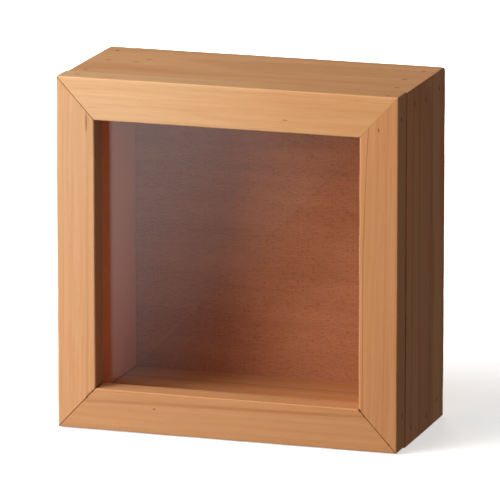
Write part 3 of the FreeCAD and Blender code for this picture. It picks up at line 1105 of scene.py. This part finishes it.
class SHADOWBOX_OT_case_boards(bpy.types.Operator):
    """Make the four mitred boards of the case"""
    bl_idname = "shadow_box.case_boards"
    bl_label = "Case boards"

    def execute(self, context):
        easing = look_of(context).board_easing / MM
        unrubbed = 10.0            # the front edges lie against the frame, so none of them is rubbed

        def radius_at(point):
            """The corners are rounded a little, and the top right one is worn towards the rear."""
            worn = max(0.0, min(1.0, (point.y - 10.0) / 36.0))
            at_top_right = point.x > 0 and point.z > CASE.middle_z
            return 0.9 + (1.5 * worn * worn if at_top_right else 0.4 * worn)

        def setup(member):
            member.open_mitres = (0.08, 0.08)

        build_members(context, ("top_board", "bottom_board", "left_board", "right_board"),
                      Faces(CASE, BOARD, BOARD, SEAM_Y - unrubbed),
                      lambda width: board_section(easing), radius_at, CASE_NAILS, setup)
        return {"FINISHED"}


class SHADOWBOX_OT_glass(bpy.types.Operator):
    """Make the pane of glass with its ground edges"""
    bl_idname = "shadow_box.glass"
    bl_label = "Glass"

    def execute(self, context):
        low, high = GLASS
        rim = rectangle_rim(Outline(low.x, high.x, low.z, high.z), 25.0)
        ground = 0.25
        layers = [(low.y, ground), (low.y + ground, 0.0), (high.y - ground, 0.0), (high.y, ground)]
        mesh = plate_mesh(rim, layers)
        piece = finish_mesh(mesh, "glass_sheet", [glass_finish(look_of(context))])
        settle(piece, "glass_pane")
        return {"FINISHED"}


class SHADOWBOX_OT_back_panel(bpy.types.Operator):
    """Make the plywood back panel with its sawn edges"""
    bl_idname = "shadow_box.back_panel"
    bl_label = "Back panel"

    def execute(self, context):
        low, high = PANEL
        rim = rectangle_rim(Outline(low.x, high.x, low.z, high.z), 1.5, ragged=0.16)
        layers = [(low.y, 0.3), (low.y + 0.08, 0.08), (low.y + 0.3, 0.0), (low.y + 1.0, 0.0),
                  (high.y - 1.0, 0.0), (high.y - 0.3, 0.0), (high.y - 0.08, 0.08), (high.y, 0.3)]
        mesh = plate_mesh(rim, layers)
        piece = finish_mesh(mesh, "back_panel_plywood", [plywood_finish(look_of(context))])
        settle(piece, "back_panel", "back_panel")
        return {"FINISHED"}


NAIL_HEAD = ((0.0, 0.06), (0.30, 0.05), (0.55, 0.03), (0.70, 0.06), (0.79, 0.16), (0.79, 0.6), (0.55, 1.0))
NAIL_POINT = 1.6               # how long the drawn point is, mm


def nail_mesh(nails, recess):
    """Wire nails with small dished heads, driven just below the wood, and a drawn point."""
    mesh = bmesh.new()
    shank = NAIL_HEAD[-1][0]
    for head, into, length in nails:
        profile = [(radius, depth + recess) for radius, depth in NAIL_HEAD]
        profile += [(shank, length - NAIL_POINT), (0.0, length)]
        turned(mesh, head, into, profile)
    return mesh


class SHADOWBOX_OT_nails(bpy.types.Operator):
    """Drive the nails of the case and the pins of the front frame"""
    bl_idname = "shadow_box.nails"
    bl_label = "Nails and pins"

    def execute(self, context):
        look = look_of(context)
        finish = nail_finish(look)
        for node in (*CASE_NAILS, PIN_NODE):
            mesh = nail_mesh(nails_in(node), look.nail_depth / MM)
            piece = finish_mesh(mesh, node + "_driven", [finish])
            settle(piece, node)
        return {"FINISHED"}


def button_rim(low, high, pivot_z):
    """The outline of a tapered turn button round its pivot, with the outward directions."""
    x = (low.x + high.x) / 2
    wide = (high.x - low.x) / 2
    narrow = wide * 0.8
    tip_z = high.z - narrow
    rim = []
    for centre, radius, start in (((x, pivot_z), wide, 180), ((x, tip_z), narrow, 0)):
        for i in range(19):
            angle = math.radians(start + 10 * i)
            way = Vector((math.cos(angle), 0, math.sin(angle)))
            rim.append((centre[0] + radius * way.x, centre[1] + radius * way.z, way))
        side = Vector((1, 0, 0)) if start == 180 else Vector((-1, 0, 0))
        last = rim[-1]
        goal = (x + narrow, tip_z) if start == 180 else (x - wide, pivot_z)
        for i in range(1, 6):
            share = i / 6
            rim.append((last[0] + (goal[0] - last[0]) * share, last[1] + (goal[1] - last[1]) * share, side))
    return rim


class SHADOWBOX_OT_turn_buttons(bpy.types.Operator):
    """Make the four turn buttons"""
    bl_idname = "shadow_box.turn_buttons"
    bl_label = "Turn buttons"

    def execute(self, context):
        look = look_of(context)
        worn = tinted(look.brass_tone, (0.78, 0.70, 0.62))
        finish = metal_finish("button_brass", look.brass_tone, worn, 0.26)
        curl, curl_from = 0.55, 11.0       # how far the tip lifts, and from how far above the screw
        bore_radius = 1.35
        buttons = [joint for joint in frame["joints"] if joint["type"] == "hinge"]
        if len(buttons) != 4:
            raise RuntimeError("four turn buttons are expected, not %d" % len(buttons))
        for joint in buttons:
            node = joint["child"]
            low, high = box_mm(node)
            pivot = Vector(joint["pos_m"]) / MM

            def lift(point, start=pivot.z + curl_from, end=high.z):
                share = max(0.0, (point.z - start) / (end - start))
                return curl * share * share

            layers = [(low.y, 0.12), (low.y + 0.12, 0.0), (high.y - 0.3, 0.0), (high.y - 0.1, 0.08),
                      (high.y, 0.28)]
            bore = (pivot.x, pivot.z, bore_radius)
            mesh = plate_mesh(button_rim(low, high, pivot.z), layers, bore=bore, lift=lift)
            piece = finish_mesh(mesh, node + "_plate", [finish])
            settle(piece, node, node)
        return {"FINISHED"}


class SHADOWBOX_OT_screws(bpy.types.Operator):
    """Make the slotted screws that the turn buttons turn on"""
    bl_idname = "shadow_box.screws"
    bl_label = "Screws"

    def execute(self, context):
        look = look_of(context)
        finish = metal_finish("screw_brass", tinted(look.brass_tone, (0.92, 0.86, 0.8)),
                              tinted(look.brass_tone, (0.6, 0.5, 0.42)), 0.3)
        mesh = bmesh.new()
        cutter = bmesh.new()
        height, radius, shank = 1.4, 2.4, 1.25
        slot_size = (6.0, 1.3, 0.62)
        for number, (low, high) in enumerate(islands("turn_button_screws")):
            top = Vector(((low.x + high.x) / 2, high.y, (low.z + high.z) / 2))
            profile = [(0.0, 0.0)]
            for i in range(1, 8):
                angle = math.radians(90 * i / 8)
                profile.append((radius * math.sin(angle), height * 0.9 * (1 - math.cos(angle))))
            profile += [(radius, height * 0.93), (radius - 0.06, height), (shank, height),
                        (shank, high.y - low.y - 1.5), (0.0, high.y - low.y)]
            turned(mesh, top, Vector((0, -1, 0)), profile, segments=32)
            slot = bmesh.ops.create_cube(cutter, size=1.0)["verts"]
            turn = Matrix.Rotation(math.radians(25 + 47 * number), 4, "Y")
            bmesh.ops.scale(cutter, vec=slot_size, verts=slot)
            bmesh.ops.transform(cutter, matrix=turn, verts=slot)
            bmesh.ops.translate(cutter, vec=top, verts=slot)
        piece = finish_mesh(mesh, "turn_button_screws_turned", [finish])
        carve(piece, finish_mesh(cutter, "screw_slots", []))
        settle(piece, "turn_button_screws")
        return {"FINISHED"}


class SHADOWBOX_OT_hanger(bpy.types.Operator):
    """Make the sawtooth hanger and its nails"""
    bl_idname = "shadow_box.hanger"
    bl_label = "Sawtooth hanger"

    def execute(self, context):
        look = look_of(context)
        worn = tinted(look.zinc_tone, (0.72, 0.72, 0.74))
        finish = metal_finish("hanger_zinc", look.zinc_tone, worn, 0.34)
        mesh = bmesh.new()
        mesh.from_mesh(frame["nodes"]["sawtooth_hanger"].data)
        bmesh.ops.remove_doubles(mesh, verts=mesh.verts, dist=WELD)
        bmesh.ops.dissolve_limit(mesh, angle_limit=math.radians(4), verts=mesh.verts, edges=mesh.edges)
        bmesh.ops.scale(mesh, vec=(1 / MM, 1 / MM, 1 / MM), verts=mesh.verts)
        sharp = [edge for edge in mesh.edges if edge.calc_face_angle(0.0) > math.radians(30)]
        bmesh.ops.bevel(mesh, geom=sharp, offset=0.1, segments=2, profile=0.5, affect="EDGES",
                        clamp_overlap=True)
        piece = finish_mesh(mesh, "sawtooth_hanger_strip", [finish])
        settle(piece, "sawtooth_hanger")

        nails = bmesh.new()
        for low, high in islands("hanger_nails"):
            head = Vector(((low.x + high.x) / 2, high.y, (low.z + high.z) / 2))
            length = high.y - low.y
            profile = [(0.0, 0.0), (0.5, 0.03), (1.0, 0.14), (1.36, 0.32), (1.5, 0.52), (1.46, 0.7),
                       (0.6, 0.7), (0.6, length - 1.2), (0.0, length)]
            turned(nails, head, Vector((0, -1, 0)), profile)
        piece = finish_mesh(nails, "hanger_nails_driven", [finish])
        settle(piece, "hanger_nails")
        return {"FINISHED"}


class SHADOWBOX_OT_stage(bpy.types.Operator):
    """Lay the floor, set the lights and aim the camera"""
    bl_idname = "shadow_box.stage"
    bl_label = "Floor, lights and camera"

    def execute(self, context):
        stage = context.scene.shadow_box_stage
        self.lay_floor(stage)
        self.light_room(context, stage)
        self.hang_light(context, "key_light", stage.key_power, size=1.2, way=(-0.75, -0.60, 0.29),
                        distance=1.5, mirrored=False)
        self.hang_light(context, "top_light", stage.top_power, size=0.8, way=(-0.30, -0.40, 0.866),
                        distance=1.3, mirrored=True)
        self.hang_light(context, "rear_light", stage.rear_power, size=0.7, way=(-0.30, 0.95, 0.03),
                        distance=1.6, mirrored=False)
        self.set_sheen_card(stage)
        self.aim_camera(context, stage)
        context.scene.view_settings.view_transform = "Standard"
        return {"FINISHED"}

    @staticmethod
    def lay_floor(stage):
        reach, below = 30000.0, -0.05      # the floor's half width, and how far it lies under the box
        corners = ((-reach, -reach), (reach, -reach), (reach, reach), (-reach, reach))
        mesh = bmesh.new()
        mesh.faces.new([mesh.verts.new((x, y, below)) for x, y in corners])
        floor = finish_mesh(mesh, "floor", [floor_finish(stage)])
        floor.visible_diffuse = False
        floor.visible_glossy = False

    @staticmethod
    def light_room(context, stage):
        """White behind everything, a lit half-room in front of the box and a dim one for gloss."""
        dim = 0.12                         # behind the box, and in what gloss mirrors
        bench = Bench("studio", world=True)
        where = bench.node("ShaderNodeTexCoord")["Generated"]
        split = bench.node("ShaderNodeSeparateXYZ", None, {"Vector": where})
        front = bench.node("ShaderNodeMapRange", None,
                           {"Value": split["Y"], "From Min": 0.6, "From Max": -0.6,
                            "To Min": dim * stage.room_strength, "To Max": stage.room_strength})["Result"]
        lit = bench.node("ShaderNodeBackground", None, {"Color": (*stage.room_tone, 1.0), "Strength": front})
        mirrored = bench.node("ShaderNodeBackground", None, {"Strength": dim})
        seen = bench.node("ShaderNodeBackground", None, {"Color": (1.0, 1.0, 1.0, 1.0)})
        ray = bench.node("ShaderNodeLightPath")
        gloss = bench.node("ShaderNodeMixShader", None, {0: ray["Is Glossy Ray"], 1: lit[0], 2: mirrored[0]})
        whole = bench.node("ShaderNodeMixShader", None, {0: ray["Is Camera Ray"], 1: gloss[0], 2: seen[0]})
        context.scene.world = bench.finish(whole[0])

    @staticmethod
    def hang_light(context, name, power, size, way, distance, mirrored):
        """A round soft light, aimed at the middle of the box."""
        data = bpy.data.lights.new(name, "AREA")
        data.shape = "DISK"
        data.size = size
        data.energy = power
        data.color = (1.0, 0.98, 0.95)
        lamp = bpy.data.objects.new(name, data)
        way = Vector(way).normalized()
        lamp.location = Vector((0.0, 0.0, CASE.middle_z * MM)) + way * distance
        lamp.rotation_mode = "QUATERNION"
        lamp.rotation_quaternion = way.to_track_quat("Z", "Y")
        lamp.visible_camera = False
        lamp.visible_glossy = mirrored
        context.scene.collection.objects.link(lamp)

    @staticmethod
    def set_sheen_card(stage):
        """A softly fading card at the front left, which only the glass mirrors."""
        bench = Bench("sheen_card")
        x, y, z = bench.place()
        slope, start, length = 1.445, 84.0, 250.0      # where the sheen's slanting edge begins and ends
        fade = ((z - x * slope - start) / length).mask(0.0, 1.0)
        glow = bench.node("ShaderNodeEmission", None,
                          {"Color": bench.mix(fade, (0.0, 0.0, 0.0), (0.98, 0.98, 1.0)),
                           "Strength": stage.sheen_strength})["Emission"]
        mesh = bmesh.new()
        card_y = FRONT_Y - 215.0
        corners = [(-190.0, -58.0), (40.0, -58.0), (40.0, 150.0), (-190.0, 150.0)]
        mesh.faces.new([mesh.verts.new((cx, card_y, cz)) for cx, cz in corners])
        card = finish_mesh(mesh, "sheen_card", [bench.finish(glow)])
        card.visible_camera = False
        card.visible_diffuse = False
        card.visible_shadow = False
        card.visible_transmission = False

    @staticmethod
    def aim_camera(context, stage):
        data = bpy.data.cameras.new("camera")
        data.sensor_width = 36.0
        data.lens = stage.lens
        data.clip_start = 0.1
        data.clip_end = 100.0
        camera = bpy.data.objects.new("camera", data)
        turn, rise = stage.azimuth, stage.elevation
        back = Vector((math.sin(turn) * math.cos(rise), -math.cos(turn) * math.cos(rise), math.sin(rise)))
        aim = Vector((FRONT.middle_x + 1.4, FRONT_Y + 40.0, CASE.middle_z + 0.1)) * MM
        camera.location = aim + back * stage.distance
        camera.rotation_mode = "QUATERNION"
        camera.rotation_quaternion = back.to_track_quat("Z", "Y")
        context.scene.collection.objects.link(camera)
        context.scene.camera = camera


# ----------------------------------------------------------------------- the add-on

OPERATORS = (SHADOWBOX_OT_front_frame, SHADOWBOX_OT_case_boards, SHADOWBOX_OT_glass, SHADOWBOX_OT_back_panel,
             SHADOWBOX_OT_nails, SHADOWBOX_OT_turn_buttons, SHADOWBOX_OT_screws, SHADOWBOX_OT_hanger,
             SHADOWBOX_OT_stage)


class SHADOWBOX_PT_panel(bpy.types.Panel):
    """The steps that build the shadow box, in order"""
    bl_idname = "SHADOWBOX_PT_panel"
    bl_label = "Shadow Box"
    bl_space_type = "VIEW_3D"
    bl_region_type = "UI"
    bl_category = "Shadow Box"

    def draw(self, context):
        for operator in OPERATORS:
            self.layout.operator(operator.bl_idname)
        for group in (context.scene.shadow_box_finish, context.scene.shadow_box_stage):
            box = self.layout.box()
            for name in group.__annotations__:
                box.prop(group, name)


CLASSES = (BoxFinish, StageLook, *OPERATORS, SHADOWBOX_PT_panel)


def register():
    for cls in CLASSES:
        bpy.utils.register_class(cls)
    bpy.types.Scene.shadow_box_finish = PointerProperty(type=BoxFinish)
    bpy.types.Scene.shadow_box_stage = PointerProperty(type=StageLook)


def unregister():
    del bpy.types.Scene.shadow_box_stage
    del bpy.types.Scene.shadow_box_finish
    for cls in reversed(CLASSES):
        bpy.utils.unregister_class(cls)


def main():
    register()
    for operator in OPERATORS:
        group, name = operator.bl_idname.split(".")
        getattr(getattr(bpy.ops, group), name)()


if __name__ == "__main__":
    main()
